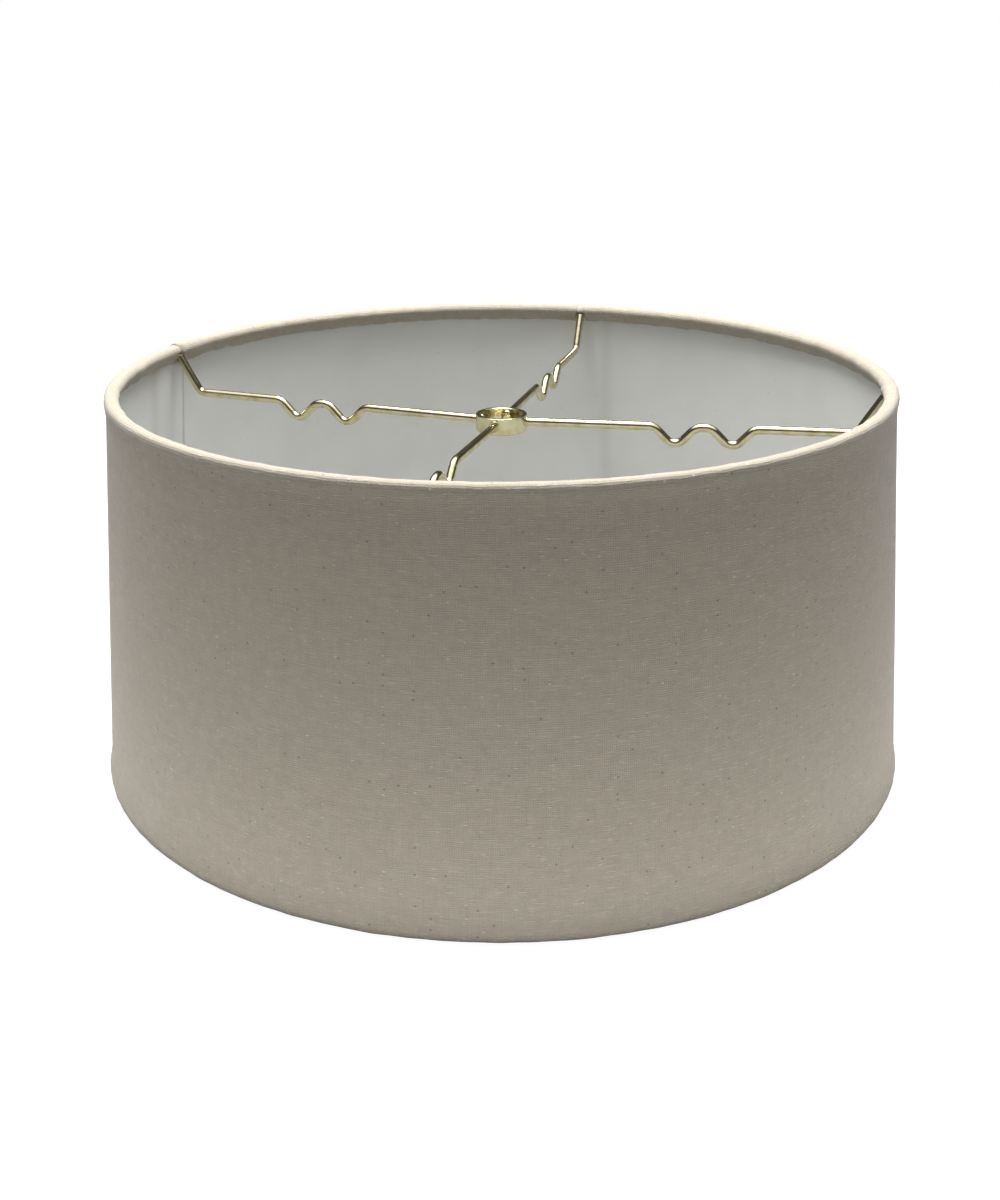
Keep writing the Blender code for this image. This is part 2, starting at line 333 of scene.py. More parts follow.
class Nodes:
    """A node tree, whose nodes are added one at a time and joined by their sockets."""

    def __init__(self, tree: bpy.types.NodeTree) -> None:
        """Keep the tree."""
        self.tree = tree

    def feed(self, socket: Socket, value: object) -> None:
        """Link a socket into another, or set a plain value on it."""
        if isinstance(value, Socket):
            self.tree.links.new(value, socket)
        else:
            socket.default_value = value

    def add(self, kind: str, inputs: dict, **settings: str) -> bpy.types.NodeOutputs:
        """Add a node.

        Args:
            kind: Its type, without ShaderNode.
            inputs: A socket or a value for each input, by name or number.
            **settings: Its other properties, set first.

        Returns:
            Its outputs.
        """
        node = self.tree.nodes.new("ShaderNode" + kind)
        for name, value in settings.items():
            setattr(node, name, value)
        for key, value in inputs.items():
            self.feed(node.inputs[key], value)
        return node.outputs

    def math(self, operation: str, *values: object) -> Socket:
        """Math node on one to three values."""
        return self.add("Math", dict(enumerate(values)), operation=operation)[0]

    def total(self, *terms: tuple) -> Socket:
        """Sum of sockets times their weights, from (socket, weight) pairs."""
        result, *rest = (self.math("MULTIPLY", *term) for term in terms)
        for part in rest:
            result = self.math("ADD", result, part)
        return result

    def place(self, kind: str) -> Socket:
        """Texture coordinate output of one kind: UV, Object or Generated."""
        return self.add("TexCoord", {})[kind]

    def split(self, vector: Socket) -> list[Socket]:
        """The x, y and z of a vector."""
        return list(self.add("SeparateXYZ", {0: vector}))

    def stretch(self, vector: Socket, scale: tuple, move: tuple = (0, 0, 0)):
        """Mapping node that scales and shifts a vector."""
        return self.add("Mapping", {"Vector": vector, "Scale": scale, "Location": move})[0]

    def noise(self, vector: object, scale: float, detail: float = 2.0, rough: float = 0.5):
        """Noise texture's value, about 0 to 1 round 0.5."""
        inputs = {"Vector": vector, "Scale": scale, "Detail": detail, "Roughness": rough}
        return self.add("TexNoise", inputs)["Fac"]

    def cells(self, vector: object, scale: float):
        """Voronoi texture: the distance to the nearest cell point, and its colour."""
        inputs = {"Vector": vector, "Scale": scale}
        cell = self.add("TexVoronoi", inputs, feature="F1", voronoi_dimensions="2D")
        return cell["Distance"], cell["Color"]

    def ramp(self, value: object, low: float, high: float, start: float = 0.0, end: float = 1.0):
        """Smooth map from low and high to start and end, held at its ends."""
        inputs = dict(enumerate((value, low, high, start, end)))
        return self.add("MapRange", inputs, interpolation_type="SMOOTHSTEP")[0]

    def blend(self, share: object, first: object, second: object, mode: str = "MIX"):
        """Mix of two colours."""
        inputs = {0: share, 6: first, 7: second}
        return self.add("Mix", inputs, data_type="RGBA", blend_type=mode)[2]

    def bump(self, height: object, distance: float, strength: float):
        """Bump from a height."""
        inputs = {"Distance": distance, "Strength": strength, "Height": height}
        return self.add("Bump", inputs)[0]


class Recipe(Nodes):
    """A material's nodes."""

    def __init__(self, name: str) -> None:
        """Start with a Principled shader and its output."""
        self.material = bpy.data.materials.new(name)
        self.material.use_nodes = True
        super().__init__(self.material.node_tree)
        self.shader = self.tree.nodes["Principled BSDF"]

    def finish(self, **inputs: object) -> Material:
        """Set the shader's inputs, named with _ for a space.

        Args:
            **inputs: A socket or a value for each input.

        Returns:
            The material.
        """
        for name, value in inputs.items():
            self.feed(self.shader.inputs[name.replace("_", " ")], value)
        return self.material


def rgb(red: float, green: float, blue: float) -> tuple[float, float, float, float]:
    """Linear colour with full alpha."""
    return (red, green, blue, 1.0)


@dataclass(frozen=True)
class LinenFinish:
    """Oatmeal linen in plain weave, with slubs, seeds, nubs and a dull nap."""

    base: tuple = rgb(0.412, 0.370, 0.305)
    warm: tuple = rgb(0.424, 0.367, 0.303)
    cool: tuple = rgb(0.398, 0.372, 0.304)
    seed: tuple = rgb(0.095, 0.075, 0.052)
    nub: tuple = rgb(0.700, 0.665, 0.590)
    warp_pitch: float = 0.84 * MM
    weft_pitch: float = 0.88 * MM
    relief: float = 0.16 * MM
    evenness: float = 0.62
    tone_shares: tuple = (0.14, 0.20, 0.30, 0.30, 0.16)
    tone_floor: float = 0.45
    relief_shares: tuple = (1.0, 0.8, 1.3, 0.9)
    slub_strength: float = 0.24
    spot_strength: float = 0.46
    nub_spots: tuple = (160.0, 0.91, 0.13)
    seed_spots: tuple = (170.0, 0.87, 0.12)

    def material(self) -> Material:
        """Weave, thread colour, slubs, seeds and nubs on the cloth's own UV."""
        r = Recipe("oatmeal_linen")
        uv = r.place("UV")
        wander = r.noise(uv, 90.0, 2.0)
        u, v, _ = r.split(uv)
        u = r.math("ADD", r.math("DIVIDE", u, self.warp_pitch), r.math("MULTIPLY", wander, 2.2))
        v = r.math("ADD", r.math("DIVIDE", v, self.weft_pitch), r.math("MULTIPLY", wander, 1.6))
        weave = self.weave(r, u, v)
        warp_tone = r.noise(r.stretch(uv, (1600, 55, 1)), 1.0)
        weft_tone = r.noise(r.stretch(uv, (48, 1430, 1), (7, 3, 0)), 1.0)
        slub = r.ramp(r.noise(r.stretch(uv, (230, 1250, 1), (3, 9, 0)), 1.0, 1.0), 0.60, 0.70)
        hue = r.noise(uv, 70.0, 3.0, 0.6)
        tone = r.noise(uv, 210.0, 4.0, 0.62)
        grain = r.noise(uv, 1250.0, 2.0, 0.6)
        colour = r.blend(r.ramp(hue, 0.36, 0.64), self.cool, self.warm)
        colour = r.blend(self.evenness, colour, self.base)
        tones = (warp_tone, weft_tone, tone, grain, weave)
        shade = r.math("ADD", r.total(*zip(tones, self.tone_shares)), self.tone_floor)
        colour = r.blend(1.0, colour, self.grey(r, shade), "MULTIPLY")
        nub = self.spots(r, r.stretch(uv, (1, 1.6, 1)), *self.nub_spots)
        seed = self.spots(r, r.stretch(uv, (1, 1.2, 1), (0.31, 0.17, 0)), *self.seed_spots)
        for mark, strength, tint in (
            (slub, self.slub_strength, self.nub),
            (nub, self.spot_strength, self.nub),
            (seed, self.spot_strength, self.seed),
        ):
            colour = r.blend(r.math("MULTIPLY", mark, strength), colour, tint)
        height = r.total(*zip((weave, slub, nub, grain), self.relief_shares))
        return r.finish(
            Base_Color=colour,
            Roughness=0.93,
            Normal=r.bump(height, self.relief, 0.75),
            Specular_IOR_Level=0.18,
            Sheen_Weight=0.22,
            Sheen_Roughness=0.45,
        )

    def weave(self, r: Recipe, u: object, v: object) -> Socket:
        """Height of plain-woven threads, from 0 in a gap to 1 on a crown.

        A warp thread stands |sin(pi u)| (1/2 + 1/2 sin(pi v + pi floor u)), the
        weft likewise with u and v changed over and the sign turned, and the
        higher of the two shows.
        """
        heights = []
        for across, down, sign in ((u, v, 0.5), (v, u, -0.5)):
            crown = r.math("ABSOLUTE", r.math("SINE", r.math("MULTIPLY", across, math.pi)))
            phase = r.math("MULTIPLY", r.math("ADD", down, r.math("FLOOR", across)), math.pi)
            over = r.math("MULTIPLY_ADD", r.math("SINE", phase), sign, 0.5)
            heights.append(r.math("MULTIPLY", crown, over))
        return r.math("MAXIMUM", *heights)

    def grey(self, r: Recipe, value: object) -> Socket:
        """A value as a grey colour."""
        return r.add("CombineColor", {0: value, 1: value, 2: value})[0]

    def spots(self, r: Recipe, uv: object, scale: float, rare: float, size: float):
        """Scattered spots: cells whose own chance is over rare, near their points."""
        distance, tint = r.cells(uv, scale)
        chance = r.ramp(r.split(tint)[0], rare, rare + 0.04)
        return r.math("MULTIPLY", chance, r.ramp(distance, size * 0.45, size, 1.0, 0.0))


@dataclass(frozen=True)
class StyreneFinish:
    """White styrene sheet with a low sheen, faint drawn streaks and painted shade lines."""

    base: tuple = rgb(0.770, 0.778, 0.760)
    shade: tuple = rgb(0.735, 0.742, 0.724)
    # This dark colour tints the real dusty specks and is also the painted shade of the shade lines.
    dust_and_shade: tuple = rgb(0.360, 0.350, 0.320)
    waver: float = 2.5 * MM
    # Painted shade lines as (place, width, depth): dark bands for the lap step's shadow and for
    # soft shade on the sheet.
    shade_lines: tuple = ()

    def material(self) -> Material:
        """Streaks up the sheet, faint clouding, a few dusty specks and painted shade lines."""
        r = Recipe("white_styrene")
        uv = r.place("UV")
        streak = r.noise(r.stretch(uv, (260, 9, 1)), 1.0, 3.0)
        cloud = r.noise(uv, 26.0, 3.0, 0.55)
        fine = r.noise(uv, 900.0)
        colour = r.blend(r.ramp(cloud, 0.35, 0.65), self.shade, self.base)
        colour = r.blend(r.math("MULTIPLY", streak, 0.35), colour, self.shade)
        distance, tint = r.cells(uv, 120.0)
        chance = r.ramp(r.split(tint)[1], 0.93, 0.95)
        speck = r.math("MULTIPLY", chance, r.ramp(distance, 0.02, 0.06, 1.0, 0.0))
        colour = r.blend(r.math("MULTIPLY", speck, 0.5), colour, self.dust_and_shade)
        colour = self.paint_shade_lines(r, uv, colour)
        height = r.total((streak, 0.6), (fine, 0.12))
        return r.finish(
            Base_Color=colour,
            Roughness=r.ramp(cloud, 0.3, 0.7, 0.46, 0.58),
            Normal=r.bump(height, 0.05 * MM, 0.8),
            Specular_IOR_Level=0.42,
        )

    def paint_shade_lines(self, r: Recipe, uv: object, colour: object) -> Socket:
        """Paint shade onto the sheet along wavering lines up it, standing in for the shadow of the
        lap's step and the shade of ripples.

        A shade line at u0, w wide and d deep takes d (1 - smooth(|u - u0| / w)) of the way to the
        dark colour that also tints the dusty specks.
        """
        across = r.split(uv)[0]
        waver = r.noise(r.stretch(uv, (0, 22, 1)), 1.0)
        waver = r.math("MULTIPLY_ADD", waver, 2 * self.waver, -self.waver)
        across = r.math("ADD", across, waver)
        for place, width, depth in self.shade_lines:
            away = r.math("ABSOLUTE", r.math("SUBTRACT", across, place))
            # Painted shade: darken towards the dark colour near each line.
            colour = r.blend(r.ramp(away, 0.0, width, depth, 0.0), colour, self.dust_and_shade)
        return colour


@dataclass(frozen=True)
class WireFinish:
    """Drawn wire or pressed sheet: plated, with fine lines and tarnished patches."""

    name: str
    bright: tuple
    deep: tuple
    roughness: tuple = (0.09, 0.19)
    lines: tuple = (6000, 90, 1)

    def material(self) -> Material:
        """Draw lines along the piece, tint patches and small pits."""
        r = Recipe(self.name)
        uv = r.place("UV")
        where = r.place("Object")
        lines = r.noise(r.stretch(uv, self.lines), 1.0)
        patch = r.noise(where, 170.0, 3.0, 0.6)
        pits = r.noise(where, 1500.0, 2.0, 0.6)
        pit = r.ramp(pits, 0.70, 0.80)
        colour = r.blend(r.ramp(patch, 0.40, 0.72), self.bright, self.deep)
        colour = r.blend(r.math("MULTIPLY", pit, 0.5), colour, self.deep)
        rough = r.total((lines, 0.10), (r.ramp(patch, 0.35, 0.7, *self.roughness), 1.0))
        height = r.total((lines, 0.5), (pit, -0.6), (r.noise(where, 420.0, 1.0), 1.2))
        return r.finish(
            Base_Color=colour,
            Roughness=rough,
            Metallic=1.0,
            Normal=r.bump(height, 0.03 * MM, 0.55),
        )


BRASS = WireFinish("plated_brass", rgb(0.810, 0.760, 0.500), rgb(0.640, 0.560, 0.290))
STEEL = WireFinish("ring_steel", rgb(0.560, 0.560, 0.550), rgb(0.380, 0.360, 0.330), (0.28, 0.42))


@dataclass(frozen=True)
class TapeFinish:
    """Cloudy double-sided tape."""

    base: tuple = rgb(0.78, 0.76, 0.66)
    air: tuple = rgb(0.9, 0.89, 0.84)

    def material(self) -> Material:
        """Clouding and a slight relief from trapped air."""
        r = Recipe("seam_tape")
        uv = r.place("UV")
        air = r.noise(uv, 500.0, 3.0, 0.6)
        colour = r.blend(r.ramp(air, 0.5, 0.7, 0.0, 0.3), self.base, self.air)
        return r.finish(
            Base_Color=colour,
            Roughness=r.ramp(air, 0.3, 0.7, 0.35, 0.55),
            Normal=r.bump(air, 0.05 * MM, 0.5),
        )


@dataclass(frozen=True)
class FloorFinish:
    """Matt sweep that looks white and throws little light back on the shade."""

    base: tuple = rgb(0.22, 0.22, 0.218)
    cloud: tuple = rgb(0.20, 0.20, 0.198)
    glow: float = 0.95

    def material(self) -> Material:
        """A very slight cloudiness, with the white added where it is looked at directly."""
        r = Recipe("studio_floor")
        cloud = r.noise(r.place("Object"), 3.0)
        colour = r.blend(r.math("MULTIPLY", cloud, 0.06), self.base, self.cloud)
        looked_at = r.add("LightPath", {})["Is Camera Ray"]
        return r.finish(
            Base_Color=colour,
            Roughness=0.85,
            Specular_IOR_Level=0.2,
            Emission_Color=rgb(1.0, 1.0, 1.0),
            Emission_Strength=r.math("MULTIPLY", looked_at, self.glow),
        )


@dataclass(frozen=True)
class GlowFinish:
    """Even white light from a flat surface."""

    strength: float = 1.8

    def material(self) -> Material:
        """Plain emission, with nothing reflected."""
        r = Recipe("table_glow")
        return r.finish(
            Base_Color=rgb(0.0, 0.0, 0.0),
            Specular_IOR_Level=0.0,
            Emission_Color=rgb(1.0, 0.995, 0.985),
            Emission_Strength=self.strength,
        )


# The drum


@dataclass
class DrumForm:
    """Sizes that the cover, the liner, the tape and the rings share."""

    height: float = 177.8 * MM
    top_diameter: float = 355.6 * MM
    bottom_diameter: float = 368.3 * MM
    fabric: float = 0.5 * MM
    liner: float = 0.4 * MM
    tape: float = 0.15 * MM
    fit: float = 0.3 * MM
    waist: float = 0.8 * MM
    waist_run: float = 5.0 * MM
    hem: float = 10.0 * MM
    lap: float = 12.0 * MM
    lap_rise: float = 16.0 * MM
    ring_wire: float = 3.4 * MM
    roll_steps: int = 400
    hem_steps: int = 40
    fold_power: float = 2.9
    hem_turn: float = math.radians(32.0)

    def __post_init__(self) -> None:
        """Work out the two rolls' centres and the lean of the wall."""
        self.step = self.fabric + self.fit
        self.roll = (self.waist + 2 * self.fabric + self.liner + self.ring_wire + 3 * self.fit) / 2
        self.middle = self.roll - self.fabric / 2
        inset = self.step + self.roll
        self.top = np.array([self.top_diameter / 2 - self.roll, self.height - inset])
        self.low = np.array([self.bottom_diameter / 2 - self.roll, inset])
        down = self.low - self.top
        self.wall = float(np.linalg.norm(down))
        self.down = down / self.wall
        self.out = np.array([-self.down[1], self.down[0]])
        self.lap_angle = self.lap / (self.top_diameter / 2)

    def ring_centre(self, rim: Rim) -> Array:
        """Radius and height of a ring's centreline.

        Args:
            rim: Which end of the drum.

        Returns:
            (radius, height).
        """
        roll = self.top if rim is Rim.TOP else self.low
        return roll - (self.roll - self.fabric - self.fit - self.ring_wire / 2) * self.out

    def wall_radius(self, height: Array, inset: Array) -> Array:
        """Radius at a height of a surface an inset inside the rolls' outer tangent.

        The centre line's radius runs evenly from one roll to the other, and the
        surface lies (roll - inset) / out_r outside it.
        """
        share = (height - self.low[1]) / (self.top[1] - self.low[1])
        centre = self.low[0] + (self.top[0] - self.low[0]) * share
        return centre + (self.roll - inset) / self.out[0]

    def strip(self, azimuth: Array, height: Array, inset: Array, thickness: float) -> list[Array]:
        """The two faces of a sheet that follows the wall, the outer one at an inset."""
        radii = [self.wall_radius(height, inset + depth) for depth in (0.0, thickness)]
        return [spun(r, azimuth, height) for r in radii]

    def section(self) -> tuple[Array, Array, Array]:
        """Mid-thickness section of the cover, from one raw hem edge to the other.

        It runs up the inside of the top hem, half a turn over the top ring,
        down the wall, which draws in by the waist within a short run of each
        roll, half a turn under the bottom ring and up the inside of its hem.
        The outer half of each fold is pressed nearly square: its reach in the
        direction a is middle / (|cos a|^p + |sin a|^p)^(1/p).

        Returns:
            Distance along it, points (radius, height) and outward directions.
        """
        flat = self.hem - self.roll
        turn = math.pi * self.middle
        steps = [self.hem_steps, *[self.roll_steps] * 3, self.hem_steps]
        starts = np.cumsum([0, flat, turn, self.wall, turn])
        stretches = zip(starts, (flat, turn, self.wall, turn, flat), steps)
        s = np.unique(np.concatenate([a + np.linspace(0, x, n) for a, x, n in stretches]))
        over = np.clip((s - flat) / turn, 0, 1) * math.pi
        under = np.clip((s - flat - turn - self.wall) / turn, 0, 1) * math.pi
        down_wall = np.clip(s - flat - turn, 0, self.wall)
        angle = math.pi - over - under
        angle = np.where(s > flat + turn, -under, angle)
        c, n = np.cos(angle), np.sin(angle)
        out = c[:, None] * self.out - n[:, None] * self.down
        draw = self.waist * ease(down_wall / self.waist_run)
        draw *= ease((self.wall - down_wall) / self.waist_run)
        power = self.fold_power
        square = (np.abs(c) ** power + np.abs(n) ** power) ** (-1 / power)
        square = 1 + (square - 1) * (c > 0)
        reach = self.middle * square - draw
        points = self.top + down_wall[:, None] * self.down + reach[:, None] * out
        for past, way in ((flat - s, 1.0), (s - flat - 2 * turn - self.wall, -1.0)):
            points, out = self.turn_hem(points, out, np.clip(past, 0, flat), way)
        return s, points, out

    def turn_hem(self, points: Array, out: Array, past: Array, way: float) -> tuple:
        """Wrap a hem's free length round the ring and lay it against the liner.

        A point q past the fold turns by t = min(q / a, hem turn) about the ring,
        a being the cloth's distance from the ring's centre, and then goes
        straight on: -a cos t outward, a sin t down, and (q - a t) along (sin t, cos t).

        Args:
            points: Section points.
            out: Their outward directions.
            past: Distance of each past the fold, 0 where it isn't in this hem.
            way: 1 for the top hem, -1 for the bottom hem.

        Returns:
            The points and outward directions with this hem laid.
        """
        a = self.ring_wire / 2 + self.fit + self.fabric / 2
        t = np.clip(past / a, 0, self.hem_turn)
        free = past - a * t
        down = way * self.down
        away = a * (1 - np.cos(t)) + free * np.sin(t)
        along = a * np.sin(t) + free * np.cos(t)
        points = points + away[:, None] * self.out + along[:, None] * down
        turned = -np.cos(t)[:, None] * self.out + np.sin(t)[:, None] * down
        return points, np.where((past > 0)[:, None], turned, out)


@dataclass
class LinenCover:
    """The cloth: one strip round the drum, glued down, its hems turned over both rings."""

    form: DrumForm
    finish: LinenFinish
    columns: int = 430
    notch_width: float = 6.0 * MM
    notch_top_width: float = 4.3 * MM
    notch_rise: float = 6.6 * MM
    notch_columns: int = 27
    fray: float = 0.35 * MM
    cloth_wave: float = 0.10 * MM
    hem_wave: float = 0.16 * MM
    cover_up: float = 1.15 * MM
    cover_width: float = 2.6 * MM
    cover_run: float = 5.0 * MM
    wall_run: float = 8.0 * MM
    edge_wave: float = 0.25 * MM
    cut_run: float = 4.0 * MM
    cut_thinning: float = 0.6
    seam: float = math.radians(154.9)

    def angles(self) -> Array:
        """Angles from the seam of the cloth's columns, closer together at each arm.

        Returns:
            Rising angles from 0 to one turn and the lap.
        """
        whole = TURN + self.form.lap_angle
        even = np.linspace(0, whole, self.columns)
        near = (np.arange(self.notch_columns) / (self.notch_columns - 1) - 0.5) * 2
        spread = near * self.notch_width * 0.75 / (self.form.top_diameter / 2)
        arms = np.array([side.azimuth for side in Side]) - self.seam
        dense = ((arms[:, None] % TURN) + spread).ravel()
        keep = np.abs(even[:, None] - dense).min(1) > 0.0008
        keep[[0, -1]] = True
        return np.sort(np.concatenate([even[keep], dense]))

    def rows(self, flat: float, turn: float, wall: float) -> Array:
        """Distances along the section of the cloth's rows.

        Args:
            flat: Length of the straight part of a hem.
            turn: Length of a half turn over a ring.
            wall: Length of the wall.

        Returns:
            Rising distances, closer together on the two rolls.
        """
        bend = swing(np.linspace(0, math.pi, 25))
        return np.concatenate(
            [
                np.linspace(0, flat, 7)[:-1],
                flat + np.linspace(0, turn, 17)[:-1],
                flat + turn + bend * wall,
                flat + turn + wall + np.linspace(0, turn, 15)[1:],
                flat + 2 * turn + wall + np.linspace(0, flat, 6)[1:],
            ]
        )

    def hem_start(self, angles: Array) -> Array:
        """How far up its section the top hem's raw edge lies, by angle.

        It is a little frayed all round, and each arm has a slit with sloping
        sides: rise times (half width - distance) / (half width - half top
        width), held between 0 and 1.
        """
        azimuth = self.seam + angles
        start = self.fray * (1.2 + waves(azimuth, 0 * angles, (23, 61, 117, 181), 5))
        side_width = (self.notch_width - self.notch_top_width) / 2
        for side in Side:
            away = np.abs(angle_from(azimuth, side.azimuth)) * self.form.top_diameter / 2
            slope = (self.notch_width / 2 - away) / side_width
            start = np.maximum(start, self.notch_rise * np.clip(slope, 0, 1))
        return start

    def over_arms(self, azimuth: Array, past: Array) -> Array:
        """How far the cloth bulges over each arm's end, past the top of its slit.

        It is the sum over the arms of cover_up exp(-(x / cover_width)^2) times
        a smooth fall to 0 over cover_run, with x the distance round the rim.
        """
        total = 0 * past
        for side in Side:
            across = angle_from(azimuth, side.azimuth) * self.form.top_diameter / 2
            total = total + self.cover_up * np.exp(-((across / self.cover_width) ** 2))
        return total * ease(1 - past / self.cover_run)

    def build(self) -> Object:
        """Carry the section round the drum and give it the cloth's thickness.

        With s the distance along the section and a the angle from the seam, the
        middle of the cloth is section(s) + (lap step x rise(a) + unevenness) x
        outward, and its two faces lie half a thickness each side.

        Returns:
            The cover.
        """
        form = self.form
        s_line, points, outward = form.section()
        flat, turn = form.hem - form.roll, math.pi * form.middle
        rows, angles = self.rows(flat, turn, form.wall)[:, None], self.angles()
        pin = flat + 0.55 * turn
        start = self.hem_start(angles)
        s = np.where(rows < pin, start + (pin - start) * rows / pin, rows + 0 * start)
        r, z, out_r, out_z = (
            np.interp(s, s_line, column)
            for column in (points[:, 0], points[:, 1], outward[:, 0], outward[:, 1])
        )
        lap_rise = form.lap_rise / (form.top_diameter / 2)
        rise = form.step * ease((angles - TURN + lap_rise) / lap_rise)
        azimuth = self.seam + angles
        from_top, to_low = s - flat - turn, flat + turn + form.wall - s
        on_wall = ease(from_top / self.wall_run) * ease(to_low / self.wall_run)
        cloth = self.cloth_wave * waves(azimuth, s, (5, 9, 14, 22, 31), 11)
        rolled = self.hem_wave * (0.5 * waves(azimuth, s, (17, 29, 43, 71, 97), 23) + 0.2)
        inner = ease((flat + 0.5 * turn - s) / (0.5 * turn))
        rolled += self.edge_wave * inner * waves(azimuth, s, (13, 37, 59, 83), 29)
        lift = rise + on_wall * cloth + (1 - on_wall) * rolled
        lift = lift + self.over_arms(azimuth, s - self.notch_rise)
        to_end = (angles[-1] - angles) * form.top_diameter / 2
        pressed = 1 - self.cut_thinning * ease(1 - to_end / self.cut_run)
        lift = lift - form.fabric * (1 - pressed)
        lifts = [lift + side * form.fabric / 2 * pressed for side in (1, -1)]
        faces = [spun(r + x * out_r, azimuth, z + x * out_z) for x in lifts]
        patch = sheet_shell(faces, rows[:, 0], angles * form.bottom_diameter / 2)
        piece = make_piece("linen_cover", [patch], self.finish.material())
        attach(piece, BODY)
        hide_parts("fabric_cover")
        return piece


@dataclass
class StyreneLiner:
    """White sheet inside the cloth, its inner end lapped and taped over its outer end."""

    form: DrumForm
    finish: StyreneFinish
    seam: float = math.radians(156.3)
    lap_angle: float = math.radians(6.2)
    columns: int = 420
    rows: int = 26
    ripple: float = 0.10 * MM
    lap_rise: tuple = (0.05, 0.045)
    lap_cut: tuple = (0.3, 0.1)
    edge_share: float = 0.12
    ridges: tuple = ((71.2, 0.16, 1.1), (63.6, 0.12, 1.6), (166.5, 0.10, 1.2), (300.0, 0.10, 2.0))

    def build(self) -> Object:
        """Carry the sheet's section round the drum, clockwise from the seam.

        The radius is wall_radius less the lap's step and the ripples: gentle
        waves, and a few ridges of height h exp(-(a - a0)^2 / 2w^2). The rise and
        the cut at the lap each start an angle before a full turn and take one.

        Returns:
            The liner.
        """
        form = self.form
        angles = np.linspace(0, TURN + self.lap_angle, self.columns)
        azimuth = self.seam + self.lap_angle + TURN - angles
        rise, cut = (
            ease((angles - TURN + before) / over) for before, over in (self.lap_rise, self.lap_cut)
        )
        inward = (form.liner + form.tape + 2 * form.fit) * rise
        short = (form.ring_wire / 2 + form.fit + form.liner) * cut
        share = np.linspace(0, 1, self.rows)[:, None]
        height = (form.top[1] - short) * (1 - share) + (form.low[1] + short) * share
        waver = self.ripple * (0.6 + waves(azimuth, height, (7, 12, 19, 33), 41)) * 0.6
        for centre, tall, wide in self.ridges:
            away = np.degrees(angle_from(azimuth, math.radians(centre)))
            waver = waver + tall * MM * np.exp(-(away**2) / (2 * wide**2))
        fade = ease(share / self.edge_share) * ease((1 - share) / self.edge_share)
        inset = form.waist + form.fabric + form.fit + inward + waver * fade
        faces = form.strip(azimuth, height, inset, form.liner)
        arc = form.bottom_diameter / 2
        patch = sheet_shell(faces, share[:, 0] * form.wall, angles * arc)
        # Painted shade lines: a dark line at the lapped end stands in for the shadow of its step,
        # and two soft bands, the last at fold, are painted shade on the sheet.
        fold = self.seam + self.lap_angle - math.radians(70.5)
        shade_lines = (
            (angles[-1] * arc, 3.0 * MM, 0.60),
            ((angles[-1] - 0.150) * arc, 7.0 * MM, 0.16),
            ((TURN + fold) % TURN * arc, 6.0 * MM, 0.16),
        )
        finish = replace(self.finish, shade_lines=shade_lines)
        piece = make_piece("white_liner", [patch], finish.material())
        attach(piece, BODY)
        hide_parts("styrene_liner")
        return piece


@dataclass
class SeamTape:
    """Strip of tape between the liner's two ends."""

    form: DrumForm
    finish: TapeFinish
    liner: StyreneLiner
    end: float = 8.0 * MM
    margin: float = math.radians(0.4)

    def build(self) -> Object:
        """Carry a thin section across the lap.

        Returns:
            The tape.
        """
        form = self.form
        azimuth = self.liner.seam + np.linspace(self.margin, self.liner.lap_angle - self.margin, 12)
        top, low = form.height - form.step - self.end, form.step + self.end
        height = np.linspace(top, low, 20)[:, None]
        inset = form.waist + form.fabric + 2 * form.fit + form.liner + 0 * azimuth
        faces = form.strip(azimuth, height, inset, form.tape)
        along = (azimuth - azimuth[0]) * form.top_diameter / 2
        patch = sheet_shell(faces, top - height[:, 0], along)
        piece = make_piece("lap_tape", [patch], self.finish.material())
        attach(piece, BODY)
        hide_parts("seam_tape")
        return piece


@dataclass
class WireRing:
    """Steel ring inside a turned-over end of the drum."""

    form: DrumForm
    finish: WireFinish
    rim: Rim

    def build(self) -> Object:
        """Turn a circle about the axis.

        Returns:
            The ring.
        """
        centre = self.form.ring_centre(self.rim)
        t = turns(20)[:, None]
        circle = centre + self.form.ring_wire / 2 * np.concatenate([np.cos(t), np.sin(t)], 1)
        name = self.rim.name.lower() + "_wire_ring"
        piece = make_piece(name, [lathe(circle, turns(300), True)], self.finish.material())
        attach(piece, BODY)
        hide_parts(self.rim.value)
        return piece


# The spider


@dataclass
class SpiderForm:
    """Sizes that the arms and the hub share."""

    drum: DrumForm
    wire: float = 4.0 * MM
    drop: float = 23.2 * MM
    bend_inset: float = 17.0 * MM
    bend_radius: float = 4.0 * MM
    hub_diameter: float = 23.8 * MM
    hub_height: float = 8.0 * MM
    hub_wall: float = 1.2 * MM
    hub_flange: float = 1.4 * MM
    hub_bore: float = 11.1 * MM
    head: float = 5.2 * MM
    crimp_start: float = 70.3 * MM
    crimp_width: float = 19.2 * MM
    crimp_gap: float = 6.8 * MM
    crimp_depth: float = 8.2 * MM
    dip_radius: float = 5.0 * MM
    crest_radius: float = 6.2 * MM

    def __post_init__(self) -> None:
        """Work out the heights of the arms and of the hub's underside."""
        drum = self.drum
        self.level = drum.height - drum.step - self.drop
        self.hub_bottom = self.level - self.hub_flange - drum.fit - self.head / 2

    def head_radius(self) -> float:
        """Distance from the axis to the outer face of a head, clear of the round wall."""
        clear = self.hub_diameter / 2 - self.hub_wall - self.drum.fit
        return math.sqrt(clear**2 - (self.head / 2) ** 2)


